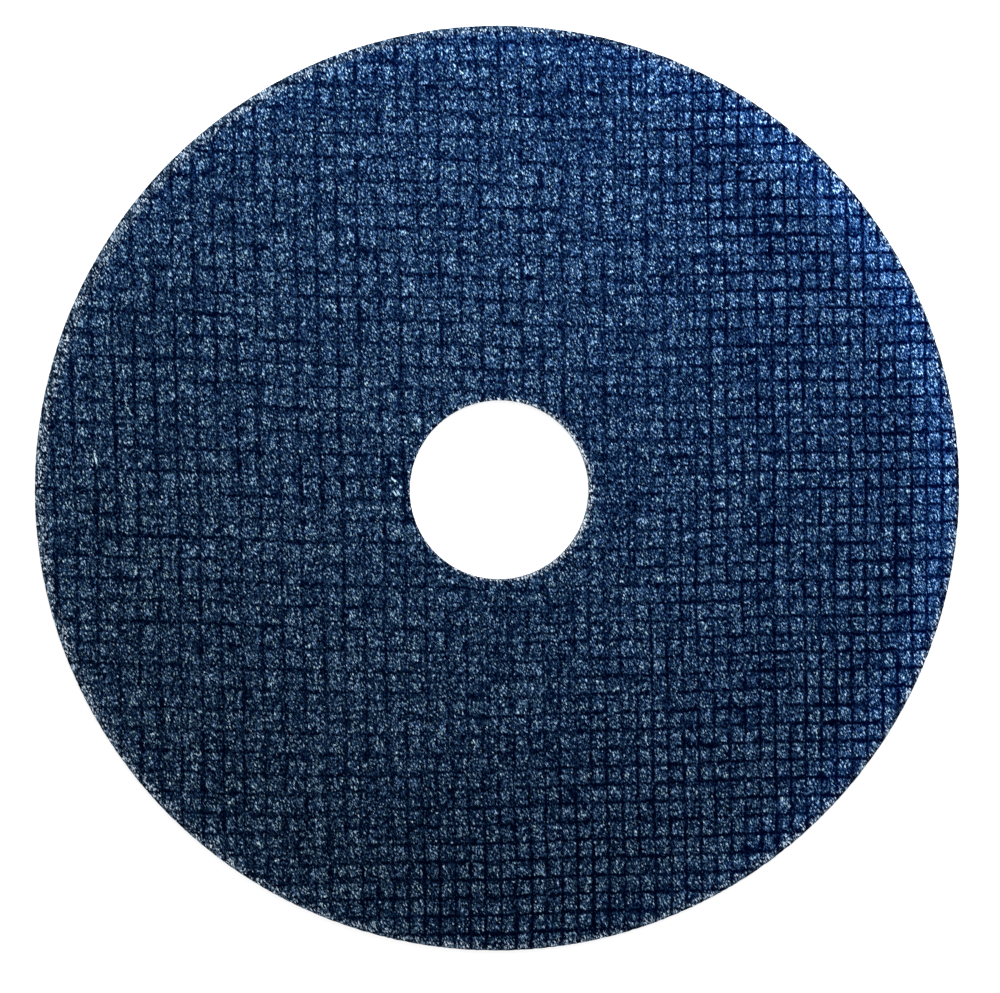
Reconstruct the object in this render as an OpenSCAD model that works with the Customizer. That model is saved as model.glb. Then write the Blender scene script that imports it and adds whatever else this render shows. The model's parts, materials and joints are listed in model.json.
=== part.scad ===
// Cut-off wheel: a thin disc of resin-bonded abrasive grain with a plain arbor hole.
// It is pressed in one piece, so its upper face keeps the imprint of the glass mesh that
// reinforces it: a field of low four-sided pillows between two sets of crossing grooves.
// A plain ring is left at the rim and round the hole, where the mesh stops short.
// Millimetres, +Z up. The origin is on the axis, on the flat back that it lies on.

/* [Wheel] */
// Outside diameter
wheel_d = 115; // [100:1:125]
// Diameter of the arbor hole
bore_d = 22.23; // [16:0.01:25.4]
// Thickness over both faces
thickness = 1.6; // [1:0.1:3.2]
// Worn edge at the rim, measured along the face and along the wall
rim_edge = 0.2; // [0.05:0.05:0.4]
// Worn edge at the hole, measured along the face and along the wall
bore_edge = 0.1; // [0.05:0.05:0.3]

/* [Mesh imprint] */
// Distance between neighbouring grooves that run from left to right
row_pitch = 2.73; // [2:0.01:4]
// Distance between neighbouring grooves that run from front to back
column_pitch = 2.56; // [2:0.01:4]
// Depth of the grooves under the crests of the pillows
groove_depth = 0.25; // [0.05:0.01:0.4]
// How far the crests lie under the plain rings
crest_drop = 0.02; // [0.01:0.01:0.1]
// Width of the plain ring at the rim
rim_ring_w = 0.8; // [0.5:0.1:5]
// Width of the plain ring round the hole
bore_ring_w = 0.8; // [0.5:0.1:10]

/* [Look] */
// Colour of the resin and grain, as red, green and blue
wheel_colour = [0.12, 0.20, 0.32];

/* [Hidden] */

$fn = 128;

wheel_r = wheel_d / 2;
bore_r = bore_d / 2;

// Where the imprint starts and ends, and how high its crests and grooves lie
imprint_inner_r = bore_r + bore_ring_w;
imprint_outer_r = wheel_r - rim_ring_w;
crest_z = thickness - crest_drop;
groove_z = crest_z - groove_depth;

// How far the cutters reach past the faces
cutter_margin = 1;
cutter_top_z = thickness + cutter_margin;

// Section of the disc, turned about the axis: both faces, the rim and the wall of the hole
module blank() {
    rotate_extrude()
        polygon([
            [bore_r + bore_edge, 0],
            [wheel_r - rim_edge, 0],
            [wheel_r, rim_edge],
            [wheel_r, thickness - rim_edge],
            [wheel_r - rim_edge, thickness],
            [bore_r + bore_edge, thickness],
            [bore_r, thickness - bore_edge],
            [bore_r, bore_edge]
        ]);
}

// The part of the upper face that the mesh covers
module imprint_zone() {
    difference() {
        cylinder(h = cutter_top_z, r = imprint_outer_r);
        translate([0, 0, -cutter_margin])
            cylinder(h = cutter_top_z + 2 * cutter_margin, r = imprint_inner_r);
    }
}

// Mould for the imprint: a plate whose lower side has one four-sided hollow for each pillow.
// The hollows meet at the groove lines, and one of them is centred on the axis.
module imprint_mould() {
    columns = 2 * ceil(wheel_r / column_pitch) + 1;
    rows = 2 * ceil(wheel_r / row_pitch) + 1;
    side_x = columns * column_pitch / 2;
    side_y = rows * row_pitch / 2;

    groove_points = [
        for (row = [0 : rows], column = [0 : columns])
            [column * column_pitch - side_x, row * row_pitch - side_y, groove_z]
    ];
    crest_points = [
        for (row = [1 : rows], column = [1 : columns])
            [(column - 0.5) * column_pitch - side_x, (row - 0.5) * row_pitch - side_y, crest_z]
    ];
    top_points = [
        for (corner = [[-1, -1], [1, -1], [1, 1], [-1, 1]])
            [corner[0] * side_x, corner[1] * side_y, cutter_top_z]
    ];

    // Where a point stands in the list of all points
    function groove(row, column) = row * (columns + 1) + column;
    function crest(row, column) = len(groove_points) + row * columns + column;
    function top(corner) = len(groove_points) + len(crest_points) + corner;

    hollow_faces = [
        for (row = [0 : rows - 1], column = [0 : columns - 1])
            each [
                [groove(row, column), groove(row, column + 1), crest(row, column)],
                [groove(row, column + 1), groove(row + 1, column + 1), crest(row, column)],
                [groove(row + 1, column + 1), groove(row + 1, column), crest(row, column)],
                [groove(row + 1, column), groove(row, column), crest(row, column)]
            ]
    ];
    front_side = concat([top(0), top(1)], [for (column = [columns : -1 : 0]) groove(0, column)]);
    right_side = concat([top(1), top(2)], [for (row = [rows : -1 : 0]) groove(row, columns)]);
    back_side = concat([top(2), top(3)], [for (column = [0 : columns]) groove(rows, column)]);
    left_side = concat([top(3), top(0)], [for (row = [0 : rows]) groove(row, 0)]);
    top_side = [top(3), top(2), top(1), top(0)];

    polyhedron(
        points = concat(groove_points, crest_points, top_points),
        faces = concat(hollow_faces, [front_side, right_side, back_side, left_side, top_side])
    );
}

// The whole wheel: the mould presses the pillows into the blank
module wheel() {
    color(wheel_colour)
        difference() {
            blank();
            intersection() {
                imprint_zone();
                imprint_mould();
            }
        }
}

wheel();
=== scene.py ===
import json
import math

import bmesh
import bpy
import numpy as np
from mathutils import Matrix, Vector


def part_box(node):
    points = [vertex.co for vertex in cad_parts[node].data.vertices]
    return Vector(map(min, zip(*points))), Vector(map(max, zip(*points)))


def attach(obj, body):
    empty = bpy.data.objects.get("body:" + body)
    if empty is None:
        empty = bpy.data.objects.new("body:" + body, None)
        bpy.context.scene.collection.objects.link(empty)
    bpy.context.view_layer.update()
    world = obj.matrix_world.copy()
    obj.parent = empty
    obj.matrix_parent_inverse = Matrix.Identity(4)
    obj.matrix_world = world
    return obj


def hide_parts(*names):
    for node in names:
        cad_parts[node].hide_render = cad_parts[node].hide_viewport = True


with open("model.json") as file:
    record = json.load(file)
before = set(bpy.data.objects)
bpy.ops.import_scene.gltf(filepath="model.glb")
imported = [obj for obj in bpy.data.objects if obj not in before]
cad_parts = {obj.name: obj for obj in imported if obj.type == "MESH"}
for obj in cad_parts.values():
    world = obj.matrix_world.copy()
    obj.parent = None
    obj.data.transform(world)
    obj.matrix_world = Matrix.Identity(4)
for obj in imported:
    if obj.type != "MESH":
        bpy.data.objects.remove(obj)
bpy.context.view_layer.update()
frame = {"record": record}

# The blank of the wheel
# A real cut-off wheel starts as a ring of loose abrasive grain, resin powder and glass mesh,
# which a mould presses flat and an oven then bakes hard. Its rim and hole wear a little round.
mm = 0.001
wheel_low, wheel_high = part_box("wheel")
wheel_r = (wheel_high[0] - wheel_low[0]) / 2
thickness = wheel_high[2] - wheel_low[2]
arbor_hole = next(mount for mount in frame["record"]["mounts"] if mount["name"] == "arbor_hole")
bore_r = arbor_hole["dims"]["r_mm"] * mm
rim_segments = 900
rim_wear = 0.22 * mm
bore_wear = 0.12 * mm
wear_segments = 2
wall_rows = 4
level_normal = 0.5


def select_in_edit_mode(piece, kind, wanted):
    """Leaves selected only the faces or edges of a piece in edit mode that the test wants."""
    bpy.ops.mesh.select_mode(type="FACE" if kind == "faces" else "EDGE")
    bpy.ops.mesh.select_all(action="DESELECT")
    editing = bmesh.from_edit_mesh(piece.data)
    for element in getattr(editing, kind):
        if wanted(element):
            element.select_set(True)
    bmesh.update_edit_mesh(piece.data)


def circles_at(radius):
    """A test for the level edges that run round the wheel at a radius."""
    near = 0.02 * mm

    def wanted(edge):
        start, end = (vert.co for vert in edge.verts)
        level = abs(start.z - end.z) < near
        return level and all(abs(math.hypot(co.x, co.y) - radius) < near for co in (start, end))

    return wanted


bpy.ops.object.select_all(action="DESELECT")
bpy.ops.mesh.primitive_cylinder_add(
    vertices=rim_segments, radius=wheel_r, depth=thickness, location=(0, 0, thickness / 2)
)
wheel = bpy.context.object
wheel.name = "pressed_wheel"
bpy.ops.object.transform_apply(location=True, rotation=True, scale=True)
bpy.ops.object.mode_set(mode="EDIT")
select_in_edit_mode(wheel, "faces", lambda face: abs(face.normal.z) > level_normal)
bpy.ops.mesh.inset(thickness=wheel_r - bore_r)
bpy.ops.mesh.bridge_edge_loops()
select_in_edit_mode(wheel, "edges", circles_at(wheel_r))
bpy.ops.mesh.bevel(offset=rim_wear, segments=wear_segments, affect="EDGES")
select_in_edit_mode(wheel, "edges", circles_at(bore_r))
bpy.ops.mesh.bevel(offset=bore_wear, segments=wear_segments, affect="EDGES")
for wall_row in range(1, wall_rows):
    bpy.ops.mesh.select_all(action="SELECT")
    bpy.ops.mesh.bisect(plane_co=(0, 0, thickness * wall_row / wall_rows), plane_no=(0, 0, 1))
bpy.ops.mesh.select_all(action="SELECT")
bpy.ops.mesh.normals_make_consistent(inside=False)
bpy.ops.object.mode_set(mode="OBJECT")

# The weave in the upper face
# Two meshes of glass thread lie one over the other under the face and print narrow grooves into it.
# The open mesh shows all over. The fine one is faint, but for the right, the lower right and the
# rim, where it comes near the surface.
grain_seed = 115
rng = np.random.default_rng(grain_seed)

# A set's start is where the wheel's axis lies between two threads, in pitches, its bow crowds the
# threads towards one side, and its half_w is where a groove has lost two thirds of its depth
thread_sets = {
    "fine_rows": dict(
        crossed_by="fine_columns",
        pitch=2.257 * mm,
        turn=math.radians(91.5),
        start=0.445,
        bow=0,
        half_w=0.23 * mm,
    ),
    "fine_columns": dict(
        crossed_by="fine_rows",
        pitch=1.924 * mm,
        turn=math.radians(0.75),
        start=0.27,
        bow=0,
        half_w=0.21 * mm,
    ),
    "open_rows": dict(
        crossed_by="open_columns",
        pitch=2.73 * mm,
        turn=math.radians(88.1),
        start=0.58,
        bow=-290,
        half_w=0.24 * mm,
    ),
    "open_columns": dict(
        crossed_by="open_rows",
        pitch=2.535 * mm,
        turn=math.radians(1.0),
        start=0.72,
        bow=0,
        half_w=0.24 * mm,
    ),
}
most_lines = 80

# Each thread wanders on slow waves, and each stretch of it between two crossings has its own depth
wander = 0.07 * mm
wander_length = 9 * mm
quick_wave = 2.3
cross_wave = 1.7
slow_wave = 0.6
wave_count = 4
least_segment = 0.40
segment_change = (0.2, 0.8)

# Where the threads come nearer to the surface or sink away from it, in shares of the wheel's radius
left_range = (0.2, 0.9)
right_range = (0.0, 0.6)
lower_right = (0.8, -0.6)
lower_right_range = (-0.1, 0.6)
rim_range = (0.5, 1.0)

# How strongly they show, in shares of the full depth of a groove
full_depth = 0.22 * mm
fine_least = 0.12
fine_gain = 0.41
fine_rim_gain = 0.15
rim_gain_lost_at_left = 0.7
open_most = 0.40
open_lost_to_fine = 0.6
open_columns_left_gain = 0.06

# The trimmed borders, where the grain is bare: the one at the rim is widest at the upper left, and
# the one at the hole is widest at the right
rim_border = 0.60 * mm
upper_left = math.radians(150)
upper_left_spread = 0.95
upper_left_gain = 0.75 * mm
bottom_gain = 0.16 * mm
rim_softness = 0.70 * mm
bore_border = 0.30 * mm
bore_right = math.radians(-5)
bore_right_gain = 0.22 * mm
bore_softness = 0.35 * mm

for lines in thread_sets.values():
    lines["segments"] = rng.uniform(least_segment, 1.0, (2 * most_lines, 2 * most_lines))
    lines["phases"] = rng.uniform(0, 2 * math.pi, wave_count)


def smooth_step(low, high, value):
    """0 below low, 1 above high, and a soft slope between."""
    t = np.clip((value - low) / (high - low), 0, 1)
    return t * t * (3 - 2 * t)


def line_places(lines, x, y):
    """How many pitches a point lies across a set of threads, and how far it lies along them."""
    across = x * math.cos(lines["turn"]) + y * math.sin(lines["turn"])
    along = y * math.cos(lines["turn"]) - x * math.sin(lines["turn"])
    first, second, third, fourth = lines["phases"]
    drift = np.sin(along / wander_length + first)
    drift += np.sin(along / wander_length * quick_wave + second)
    swell = np.cos(along / wander_length * slow_wave + fourth)
    drift += np.sin(across / wander_length * cross_wave + third) * swell
    places = (across + wander * drift) / lines["pitch"] + lines["bow"] * across ** 2
    return places + lines["start"], along


def nearest_thread(name, x, y):
    """Where a point lies across a set of threads, in pitches, and how deep the nearest one prints."""
    lines = thread_sets[name]
    cross_lines = thread_sets[lines["crossed_by"]]
    places, along = line_places(lines, x, y)
    crossing = along / cross_lines["pitch"] + most_lines
    before = np.floor(crossing)
    blend = smooth_step(*segment_change, crossing - before)
    line_index = (np.rint(places) + most_lines).astype(int)
    segment_index = before.astype(int)
    here = lines["segments"][line_index, segment_index]
    there = lines["segments"][line_index, segment_index + 1]
    return places, here + (there - here) * blend


def strengths(x, y):
    """How strongly each set of threads shows through the face at a point."""
    to_the_left = smooth_step(*left_range, -x / wheel_r)
    to_the_rim = smooth_step(*rim_range, np.hypot(x, y) / wheel_r)
    to_the_right = smooth_step(*right_range, x / wheel_r)
    down_right = (lower_right[0] * x + lower_right[1] * y) / wheel_r
    to_the_lower_right = smooth_step(*lower_right_range, down_right)
    close = np.maximum(to_the_right, to_the_lower_right)
    fine = fine_least + fine_gain * close
    fine += fine_rim_gain * to_the_rim * (1 - rim_gain_lost_at_left * to_the_left)
    open_share = 1 - open_lost_to_fine * close
    return {
        "fine_rows": fine,
        "fine_columns": fine,
        "open_rows": open_most * open_share,
        "open_columns": (open_most + open_columns_left_gain * to_the_left) * open_share,
    }


def weave_depth(x, y):
    """How deep the face lies under its crests at a point."""
    depth = np.zeros(x.size)
    for name, strength in strengths(x, y).items():
        lines = thread_sets[name]
        places, deepest = nearest_thread(name, x, y)
        distance = (places - np.rint(places)) * lines["pitch"]
        profile = np.exp(-((distance / lines["half_w"]) ** 2))
        depth = np.maximum(depth, strength * deepest * profile)
    return full_depth * depth


def bare_border(x, y):
    """1 on the trimmed borders, where the grain is bare, and 0 on the pressed face."""
    r = np.hypot(x, y)
    direction = np.arctan2(y, x)
    from_upper_left = np.abs((direction - upper_left + math.pi) % (2 * math.pi) - math.pi)
    to_the_bottom = np.maximum(0, -np.sin(direction))
    rim_w = rim_border + upper_left_gain * np.exp(-((from_upper_left / upper_left_spread) ** 2))
    rim_w += bottom_gain * to_the_bottom
    bore_w = bore_border + bore_right_gain * np.cos(direction - bore_right)
    at_rim = smooth_step(-rim_softness, rim_softness, r - (wheel_r - rim_w))
    at_bore = smooth_step(-bore_softness, bore_softness, bore_r + bore_w - r)
    return np.maximum(at_rim, at_bore)


# The two plates of the mould
# The upper plate carries the weave and the lower one is plain. Both are pitted by the grain,
# and what they take off the blank leaves its two faces.
plate_margin = 0.4 * mm
plate_height = 1.5 * mm
front_play = 0.02 * mm
front_grain = 0.045 * mm
back_play = 0.005 * mm
back_grain = 0.03 * mm
back_step = 1.0 * mm
row_steps = 6
column_steps = 5
jitter = 0.22
settling_rounds = 12
weld_reach = 0.004 * mm
sliver_size = 0.002 * mm


def vertex_spots(piece):
    """The places of a piece's vertices, with x, y and z in a row for each."""
    spots = np.empty(3 * len(piece.data.vertices), dtype=np.float32)
    piece.data.vertices.foreach_get("co", spots)
    return spots.reshape(-1, 3).astype(float)


def move_vertices(piece, spots):
    """Puts a piece's vertices at new places."""
    piece.data.vertices.foreach_set("co", spots.astype(np.float32).ravel())
    piece.data.update()


def mould_plate(name, columns, rows):
    """A flat grid that is still to be shaped, with its vertices' column and row numbers."""
    side = 2
    bpy.ops.object.select_all(action="DESELECT")
    bpy.ops.mesh.primitive_grid_add(x_subdivisions=columns, y_subdivisions=rows, size=side)
    plate = bpy.context.object
    plate.name = name
    shares = (vertex_spots(plate) + side / 2) / side
    return plate, np.rint(shares[:, 0] * columns), np.rint(shares[:, 1] * rows)


def press(plate, spots, lift):
    """Shapes a plate, thickens it away from the wheel and cuts it out of the blank."""
    move_vertices(plate, spots)
    bpy.ops.object.mode_set(mode="EDIT")
    bpy.ops.mesh.select_all(action="SELECT")
    bpy.ops.mesh.extrude_region_move(TRANSFORM_OT_translate={"value": (0, 0, lift)})
    bpy.ops.mesh.select_all(action="SELECT")
    bpy.ops.mesh.normals_make_consistent(inside=False)
    bpy.ops.object.mode_set(mode="OBJECT")
    cut = wheel.modifiers.new("press", "BOOLEAN")
    cut.operation = "DIFFERENCE"
    cut.solver = "MANIFOLD"
    cut.object = plate
    bpy.context.view_layer.objects.active = wheel
    bpy.ops.object.modifier_apply(modifier=cut.name)
    bpy.data.objects.remove(plate)


# The front plate follows the fine mesh, so that its grooves run along the edges of the grid
fine_rows = thread_sets["fine_rows"]
fine_columns = thread_sets["fine_columns"]
lines_across = math.ceil((wheel_r + plate_margin) / fine_columns["pitch"]) + 1
lines_up = math.ceil((wheel_r + plate_margin) / fine_rows["pitch"]) + 1
front_plate, column, row = mould_plate(
    "front_plate", 2 * lines_across * column_steps, 2 * lines_up * row_steps
)
spots_across = column / column_steps - lines_across
spots_up = row / row_steps - lines_up
spots_across += rng.uniform(-jitter, jitter, spots_across.size) / column_steps
spots_up += rng.uniform(-jitter, jitter, spots_up.size) / row_steps
front_x = np.zeros(column.size)
front_y = np.zeros(column.size)
for _ in range(settling_rounds):
    miss_across = spots_across - line_places(fine_columns, front_x, front_y)[0]
    miss_up = spots_up - line_places(fine_rows, front_x, front_y)[0]
    front_x = front_x + miss_across * fine_columns["pitch"]
    front_y = front_y + miss_up * fine_rows["pitch"]
pressed = 1 - bare_border(front_x, front_y)
front_z = thickness - front_play - pressed * weave_depth(front_x, front_y)
front_z -= front_grain * rng.random(front_z.size)
press(front_plate, np.column_stack([front_x, front_y, front_z]), plate_height)

back_steps = 2 * math.ceil((wheel_r + plate_margin) / back_step)
back_plate, column, row = mould_plate("back_plate", back_steps, back_steps)
back_x = (column - back_steps / 2 + rng.uniform(-jitter, jitter, column.size)) * back_step
back_y = (row - back_steps / 2 + rng.uniform(-jitter, jitter, row.size)) * back_step
back_z = back_play + back_grain * rng.random(back_x.size)
press(back_plate, np.column_stack([back_x, back_y, back_z]), -plate_height)

bpy.ops.object.select_all(action="DESELECT")
wheel.select_set(True)
bpy.ops.object.mode_set(mode="EDIT")
bpy.ops.mesh.select_all(action="SELECT")
bpy.ops.mesh.remove_doubles(threshold=weld_reach)
bpy.ops.mesh.dissolve_degenerate(threshold=sliver_size)
bpy.ops.mesh.quads_convert_to_tris()
bpy.ops.mesh.normals_make_consistent(inside=False)
bpy.ops.object.mode_set(mode="OBJECT")
bpy.ops.object.shade_smooth()

# The pits of the rim and the hole
# Both walls are trimmed after baking. That tears single grains out of them, so neither outline
# is quite smooth.
pit_depth = 0.07 * mm
pit_rarity = 1.5
wall_reach = 0.30 * mm
wheel_spots = vertex_spots(wheel)
radius = np.hypot(wheel_spots[:, 0], wheel_spots[:, 1])
at_rim = smooth_step(-wall_reach, -wall_reach / 2, radius - wheel_r)
at_bore = smooth_step(-wall_reach, -wall_reach / 2, bore_r - radius)
pull = pit_depth * rng.random(radius.size) ** pit_rarity * (at_bore - at_rim)
wheel_spots[:, :2] *= (1 + pull / radius)[:, None]
move_vertices(wheel, wheel_spots)

# What the finish reads at each spot of the wheel
# The threads under the spot, how bare its grain is, the shade of its pillow, how much lighter its grain
# is at the edge of the hole, and a painted sheen: painted light that makes the resin brighter at the
# rim, and brighter and bluer towards the upper right, in place of the sheen of the light from above.
front_from = thickness / 2
front_whole = thickness * 0.7
wall_half = thickness * 0.36
# The grain at the edge of the hole is made lighter, more so towards the right
hole_edge_range = (-1.0 * mm, -0.6 * mm)
hole_edge_level = 0.55
hole_edge_right_gain = 0.45
sheen_slopes = {"red": (0.14, 0.25), "green": (0.23, 0.40), "blue": (0.35, 0.55)}
sheen_rim_range = (0.86, 0.97)
sheen_rim_gain = 0.25
sheen_right_range = (0.1, 0.95)
sheen_right_gain = 0.45

x, y, z = wheel_spots.T
on_front = smooth_step(front_from, front_whole, z)
on_wall = 1 - np.clip(np.abs(z - thickness / 2) / wall_half, 0, 1)
column_number = np.floor(line_places(fine_columns, x, y)[0]).astype(int) + most_lines
row_number = np.floor(line_places(fine_rows, x, y)[0]).astype(int) + most_lines
pillow_shades = rng.random((2 * most_lines, 2 * most_lines))
chalk = smooth_step(*hole_edge_range, bore_r - radius) * (hole_edge_level + hole_edge_right_gain * x / radius)
spot_values = {
    "bare": np.maximum(bare_border(x, y), on_wall),
    "pillow": pillow_shades[row_number, column_number] * on_front,
    "chalk": chalk * on_front,
}
for name, strength in strengths(x, y).items():
    places, deepest = nearest_thread(name, x, y)
    spot_values[name + "_place"] = places
    spot_values[name + "_depth"] = strength * deepest * on_front
for name, values in spot_values.items():
    layer = wheel.data.attributes.new(name, "FLOAT", "POINT")
    layer.data.foreach_set("value", values.astype(np.float32))

# Painted light: a sheen that makes the resin brighter at the rim and brighter and bluer to the upper
# right
near_rim = smooth_step(*sheen_rim_range, radius / wheel_r)
to_the_right = smooth_step(*sheen_right_range, x / wheel_r)
rim_sheen = np.exp(near_rim * (sheen_rim_gain + sheen_right_gain * to_the_right))
glaze = [
    np.exp(along_x * x / wheel_r + along_y * y / wheel_r) * rim_sheen
    for along_x, along_y in sheen_slopes.values()
]
sheen_and_alpha = np.column_stack([*glaze, np.ones(x.size)])
layer = wheel.data.attributes.new("glaze", "FLOAT_COLOR", "POINT")
layer.data.foreach_set("color", sheen_and_alpha.astype(np.float32).ravel())

# The finish of the wheel
# Dark blue resin baked over sharp grey-blue grain. Each grain has a shade of its own, partly its own
# tone and partly painted glints and painted shade between grains. The resin in the grooves stays
# nearly black, and the brightest crystals are bare and white, with painted glints on them.
grain_size = (0.10 * mm, 0.29 * mm)
clump_size = (0.18 * mm, 0.32 * mm)
grain_lean = math.radians(25)
streak_size = (0.50 * mm, 1.00 * mm)
patch_size = (7 * mm, 7 * mm)
tint_size = (0.45 * mm, 0.60 * mm)
wobble_size = (0.90 * mm, 0.75 * mm)
wobble_share = 0.34
mark_reach = 1.0 * mm
half = 0.5


def empty_tree(owner):
    """The node tree of a material or a world, with all its nodes taken out."""
    owner.use_nodes = True
    owner.node_tree.nodes.clear()
    return owner.node_tree


def add_node(kind, **settings):
    """A new node with its settings, in the tree that is being built."""
    made = tree.nodes.new(kind)
    for name, value in settings.items():
        setattr(made, name, value)
    return made


def feed(socket, value):
    """Gives an input a number, a colour or the output of another node."""
    if isinstance(value, (int, float)):
        socket.default_value = value
    elif isinstance(value, tuple):
        socket.default_value = (*value, 1)
    else:
        tree.links.new(value, socket)


def spot(name):
    """One of the values that the wheel's mesh holds for each spot."""
    return add_node("ShaderNodeAttribute", attribute_name=name).outputs["Fac"]


def math_node(operation, *values, clamp=False):
    """One step of arithmetic on outputs or numbers."""
    made = add_node("ShaderNodeMath", operation=operation, use_clamp=clamp)
    for socket, value in zip(made.inputs, values):
        feed(socket, value)
    return made.outputs[0]


def ramp(factor, stops):
    """A colour ramp through a few colours, given as linear red, green and blue."""
    made = add_node("ShaderNodeValToRGB")
    elements = made.color_ramp.elements
    while len(elements) < len(stops):
        elements.new(half)
    for element, (position, colour) in zip(elements, stops):
        element.position = position
        element.color = (*colour, 1)
    feed(made.inputs["Fac"], factor)
    return made.outputs["Color"]


def mix(blend, factor, first, second):
    """Two colours mixed by a factor."""
    made = add_node("ShaderNodeMix", data_type="RGBA", blend_type=blend)
    factor_index, first_index, second_index, result_index = 0, 6, 7, 2
    feed(made.inputs[factor_index], factor)
    feed(made.inputs[first_index], first)
    feed(made.inputs[second_index], second)
    return made.outputs[result_index]


def total(*terms):
    """The sum of outputs, each times its weight."""
    parts = [math_node("MULTIPLY", value, weight) for weight, value in terms]
    result = parts[0]
    for part in parts[1:]:
        result = math_node("ADD", result, part)
    return result


def stretched(size, lean):
    """The place on the wheel, counted in spots of a width and a length that lean to the left."""
    width, length = size
    stretch = add_node("ShaderNodeMapping", vector_type="TEXTURE")
    stretch.inputs["Rotation"].default_value = (0, 0, lean)
    stretch.inputs["Scale"].default_value = (width, length, length)
    feed(stretch.inputs["Vector"], place)
    return stretch.outputs[0]


def noise(size, lean=0, detail=0):
    """Soft noise whose patches have about a width and a length, with 0 as its middle."""
    made = add_node("ShaderNodeTexNoise")
    made.inputs["Scale"].default_value = 1
    made.inputs["Detail"].default_value = detail
    feed(made.inputs["Vector"], stretched(size, lean))
    return math_node("SUBTRACT", made.outputs["Fac"], half)


def grains(size, lean):
    """Three random values for each grain, as red, green and blue, for grains of a width and a length."""
    cells = add_node("ShaderNodeTexVoronoi")
    cells.inputs["Scale"].default_value = 1
    feed(cells.inputs["Vector"], stretched(size, lean))
    parts = add_node("ShaderNodeSeparateColor")
    feed(parts.inputs["Color"], cells.outputs["Color"])
    return parts.outputs


def thread_groove(name):
    """The groove over the nearest thread of a set: its depth in the middle, falling to 0."""
    lines = thread_sets[name]
    wobble = noise(wobble_size, lean=lines["turn"], detail=1)
    place_across = total((1.0, spot(name + "_place")), (wobble_share, wobble))
    distance = math_node("PINGPONG", place_across, half)
    distance = math_node("MULTIPLY", distance, lines["pitch"] / lines["half_w"])
    profile = math_node("POWER", math.exp(-1), math_node("MULTIPLY", distance, distance))
    return math_node("MULTIPLY", profile, spot(name + "_depth"))


def mark(place_mm, half_mm, lean):
    """1 in the middle of a small oval mark on the upper face, falling to 0 at its edge."""
    oval = add_node("ShaderNodeMapping", vector_type="TEXTURE")
    oval.inputs["Location"].default_value = (place_mm[0] * mm, place_mm[1] * mm, thickness)
    oval.inputs["Rotation"].default_value = (0, 0, math.radians(lean))
    oval.inputs["Scale"].default_value = (half_mm[0] * mm, half_mm[1] * mm, mark_reach)
    feed(oval.inputs["Vector"], place)
    distance = add_node("ShaderNodeVectorMath", operation="LENGTH")
    feed(distance.inputs[0], oval.outputs[0])
    return math_node("SUBTRACT", 1.0, distance.outputs["Value"], clamp=True)


finish = bpy.data.materials.new("blue_bonded_grain")
tree = empty_tree(finish)
place = add_node("ShaderNodeTexCoord").outputs["Object"]
grain_values = grains(grain_size, grain_lean)
shade = grain_values["Red"]
flash = grain_values["Blue"]
clumps = noise(clump_size, lean=grain_lean)
streaks = noise(streak_size)
patches = noise(patch_size, detail=2)
tints = noise(tint_size, detail=1)
pillow = math_node("SUBTRACT", spot("pillow"), half)
groove = thread_groove("fine_rows")
for name in ("fine_columns", "open_rows", "open_columns"):
    groove = math_node("MAXIMUM", groove, thread_groove(name))

# Bright and dark scuffs and single loose threads: strength, place, half width and length, lean
marks = [
    (0.80, (-13.22, 1.36), (0.22, 0.85), 50),
    (0.70, (-12.34, 0.49), (0.16, 0.48), 38),
    (0.75, (-12.98, -0.35), (0.17, 0.60), 41),
    (0.70, (-12.47, -0.40), (0.20, 0.55), 35),
    (0.35, (-10.17, 8.60), (0.80, 1.00), 0),
    (0.80, (-13.60, 7.74), (0.13, 0.36), -40),
    (0.60, (-11.67, 6.10), (0.22, 0.24), 0),
    (-0.35, (-13.70, 3.40), (0.55, 1.50), 5),
    (0.95, (-49.95, 3.95), (0.21, 1.25), 14),
    (0.60, (-4.63, 51.65), (0.10, 1.10), 49),
    (0.60, (-5.66, 52.64), (0.22, 0.65), 41),
    (-0.50, (-3.30, 46.20), (0.40, 1.40), 53),
    (0.50, (0.32, 50.40), (0.15, 0.85), 0),
    (0.50, (-3.60, 50.50), (0.20, 0.70), 4),
    (0.70, (44.50, 0.45), (0.24, 0.24), 0),
    (0.60, (48.30, -5.60), (0.16, 0.30), -30),
    (0.60, (50.90, -0.20), (0.20, 0.20), 0),
]

# How bright each spot is, from the black of the grooves at 0 to the white of bare crystal at 1. The
# spread from grain to grain is partly the grain's own tone and partly painted glints and painted shade.
shade_weight = 0.62
clump_weight = 0.70
streak_weight = 0.18
pillow_weight = 0.04
patch_weight = 0.06
groove_weight = -0.80
ground_level = 0.174
level = total(
    (shade_weight, shade),
    (clump_weight, clumps),
    (streak_weight, streaks),
    (pillow_weight, pillow),
    (patch_weight, patches),
    (groove_weight, groove),
    *((strength, mark(*oval)) for strength, *oval in marks),
)
level = math_node("ADD", level, ground_level, clamp=True)

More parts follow.
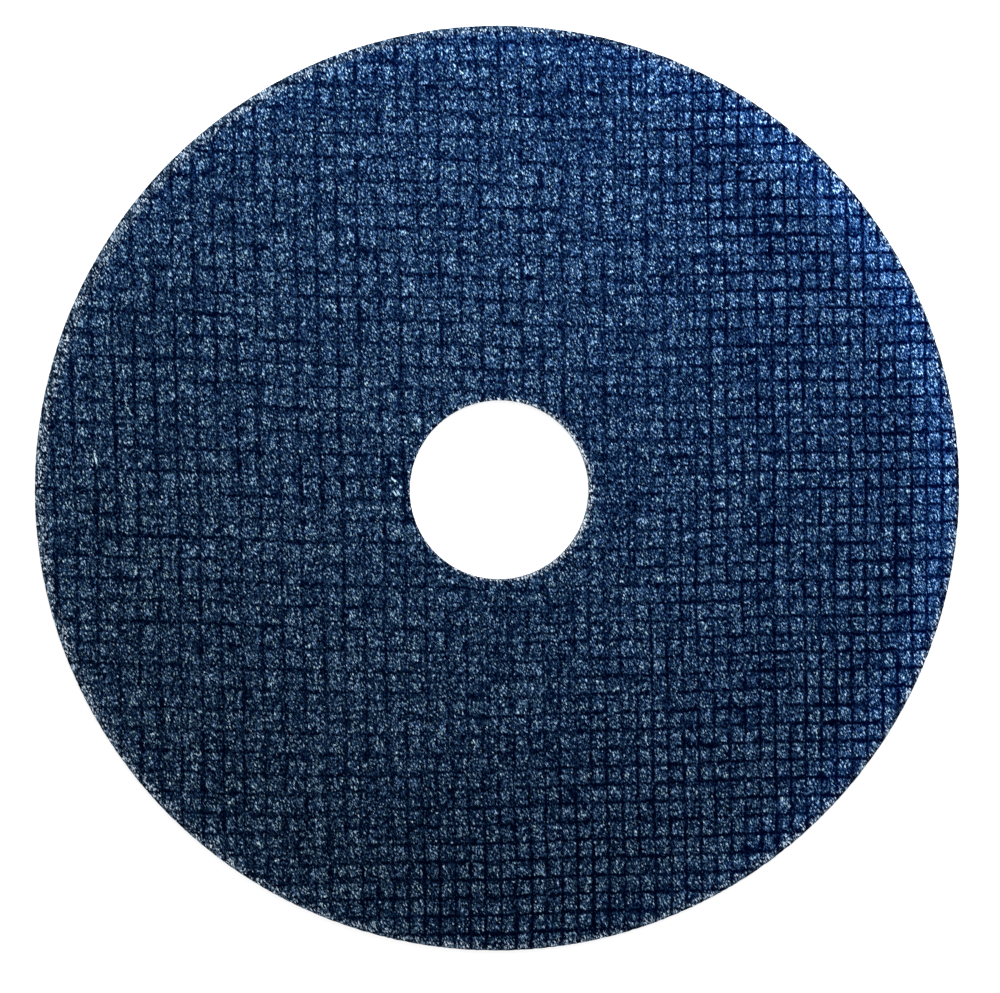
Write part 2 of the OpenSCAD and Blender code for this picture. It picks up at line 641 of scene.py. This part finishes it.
# The colours of resin and of bare grain at each brightness. The whitest are partly painted glints.
resin_and_glint_stops = [
    (0.00, (0.0000, 0.0002, 0.008)),
    (0.20, (0.0000, 0.0014, 0.015)),
    (0.40, (0.0014, 0.0084, 0.036)),
    (0.50, (0.0057, 0.0213, 0.067)),
    (0.60, (0.0192, 0.0525, 0.134)),
    (0.70, (0.0660, 0.1320, 0.262)),
    (0.82, (0.2650, 0.4050, 0.620)),
    (1.00, (0.6800, 0.8600, 1.000)),
]
bare_grain_and_glint_stops = [
    (0.00, (0.0008, 0.0028, 0.008)),
    (0.30, (0.0050, 0.0130, 0.029)),
    (0.48, (0.0310, 0.0660, 0.117)),
    (0.62, (0.1400, 0.2300, 0.350)),
    (0.80, (0.6000, 0.7200, 0.850)),
    (1.00, (0.9000, 0.9700, 1.000)),
]
blue = (0.84, 0.97, 1.10)
teal = (1.03, 1.10, 0.87)
tint_contrast = 2.2
sheen_reach = 1.5
bare_sheen = 0.3
hole_edge_weight = 0.20
bare_weight = 1.75
bare_clump_weight = 1.0
bare_shade_weight = 1.8
bare_threshold = 1.8

# The painted sheen, painted light, brightens the resin, less so its brightest grains, and the bare grain
# a little
sheen_colour = add_node("ShaderNodeAttribute", attribute_name="glaze").outputs["Color"]
sheen_share = math_node("SUBTRACT", sheen_reach, level, clamp=True)
resin = mix("MULTIPLY", sheen_share, ramp(level, resin_and_glint_stops), sheen_colour)
tint_share = math_node("ADD", math_node("MULTIPLY", tints, tint_contrast), half, clamp=True)
resin = mix("MULTIPLY", 1.0, resin, mix("MIX", tint_share, blue, teal))
bare_level = math_node("ADD", level, math_node("MULTIPLY", spot("chalk"), hole_edge_weight), clamp=True)
bare_grain = mix("MULTIPLY", bare_sheen, ramp(bare_level, bare_grain_and_glint_stops), sheen_colour)
bare_share = total(
    (bare_weight, spot("bare")),
    (bare_clump_weight, clumps),
    (bare_shade_weight, shade),
)
bare_share = math_node("SUBTRACT", bare_share, bare_threshold, clamp=True)
colour = mix("MIX", bare_share, resin, bare_grain)

least_roughness = 0.42
roughness_spread = 0.35
gloss = 0.005
bump_strength = 0.5
bump_distance = 0.05 * mm
bump_weight = 0.6
bump = add_node("ShaderNodeBump")
bump.inputs["Strength"].default_value = bump_strength
bump.inputs["Distance"].default_value = bump_distance
feed(bump.inputs["Height"], total((bump_weight, shade), (bump_weight, clumps)))
shader = add_node("ShaderNodeBsdfPrincipled")
shader.inputs["Specular IOR Level"].default_value = gloss
feed(shader.inputs["Base Color"], colour)
feed(shader.inputs["Roughness"], math_node("MULTIPLY_ADD", flash, roughness_spread, least_roughness))
feed(shader.inputs["Normal"], bump.outputs["Normal"])
feed(add_node("ShaderNodeOutputMaterial").inputs["Surface"], shader.outputs[0])
wheel.data.materials.clear()
wheel.data.materials.append(finish)

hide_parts("wheel")
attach(wheel, "root")

# The floor
# A plain white table top. It adds a little glow for the camera, so that it stays white there. It is
# clear from below and right under the wheel, so that the back of the wheel can be lit and looked at.
floor_size = 3.0
floor_gap = 0.02 * mm
floor_white = (0.8, 0.8, 0.8)
glow_level = 0.70
contact_reach = 0.2 * mm
bpy.ops.object.select_all(action="DESELECT")
bpy.ops.mesh.primitive_plane_add(size=floor_size, location=(0, 0, -floor_gap))
floor = bpy.context.object
floor.name = "floor"
bpy.ops.object.transform_apply(location=True, rotation=True, scale=True)
floor_paint = bpy.data.materials.new("white_table")
tree = empty_tree(floor_paint)
rays = add_node("ShaderNodeLightPath").outputs
seen = math_node("MAXIMUM", rays["Is Camera Ray"], rays["Is Glossy Ray"])
seen = math_node("MAXIMUM", seen, rays["Is Transmission Ray"])
paint = add_node("ShaderNodeBsdfDiffuse")
feed(paint.inputs["Color"], floor_white)
glow = add_node("ShaderNodeEmission")
feed(glow.inputs["Strength"], math_node("MULTIPLY", seen, glow_level))
painted = add_node("ShaderNodeAddShader")
feed(painted.inputs[0], paint.outputs[0])
feed(painted.inputs[1], glow.outputs[0])
from_below = add_node("ShaderNodeNewGeometry").outputs["Backfacing"]
from_the_back = math_node("LESS_THAN", rays["Ray Length"], contact_reach)
one_sided = add_node("ShaderNodeMixShader")
feed(one_sided.inputs[0], math_node("MAXIMUM", from_below, from_the_back))
feed(one_sided.inputs[1], painted.outputs[0])
feed(one_sided.inputs[2], add_node("ShaderNodeBsdfTransparent").outputs[0])
feed(add_node("ShaderNodeOutputMaterial").inputs["Surface"], one_sided.outputs[0])
floor.data.materials.append(floor_paint)

# The light
# A broad soft lamp stands above and beyond the far edge of the wheel and faces its middle. The room
# round it is even, and the camera sees it as white.
room_white = (1, 1, 1)
room_level = 0.45
lamp_place = Vector((0.03, 0.17, 0.26))
lamp_side = 0.22
lamp_watts = 0.85
scene = bpy.context.scene
room = bpy.data.worlds.new("white_room")
scene.world = room
tree = empty_tree(room)
rays = add_node("ShaderNodeLightPath").outputs
sky = add_node("ShaderNodeBackground")
feed(sky.inputs["Color"], room_white)
sky_level = math_node("MULTIPLY_ADD", rays["Is Camera Ray"], 1 - room_level, room_level)
feed(sky.inputs["Strength"], sky_level)
feed(add_node("ShaderNodeOutputWorld").inputs["Surface"], sky.outputs[0])

lamp_data = bpy.data.lights.new("window", "AREA")
lamp_data.size = lamp_side
lamp_data.energy = lamp_watts
lamp = bpy.data.objects.new("window", lamp_data)
scene.collection.objects.link(lamp)
lamp.location = lamp_place
lamp.rotation_euler = lamp_place.to_track_quat("Z", "Y").to_euler()

# The camera
# It hangs over the wheel, a little to the upper left of the axis, at the photograph's place.
# Its lens gives the rim the radius that it has there.
image_w = 1000
rim_radius_px = 463.2
camera_distance = 0.58
camera_tilt = math.radians(4.0)
tilt_direction = Vector((-0.78, 0.63, 0)).normalized()
aim = Vector((0.05 * mm, -0.79 * mm, thickness))
nearest_seen = 0.01
camera_data = bpy.data.cameras.new("camera")
camera = bpy.data.objects.new("camera", camera_data)
scene.collection.objects.link(camera)
scene.camera = camera
backwards = tilt_direction * math.sin(camera_tilt) + Vector((0, 0, math.cos(camera_tilt)))
right = Vector((0, 1, 0)).cross(backwards).normalized()
up = backwards.cross(right)
turn = Matrix((right, up, backwards)).transposed()
camera.matrix_world = Matrix.Translation(aim + backwards * camera_distance) @ turn.to_4x4()
camera_data.lens = rim_radius_px * camera_distance / wheel_r * camera_data.sensor_width / image_w
camera_data.clip_start = nearest_seen
scene.view_settings.view_transform = "Standard"
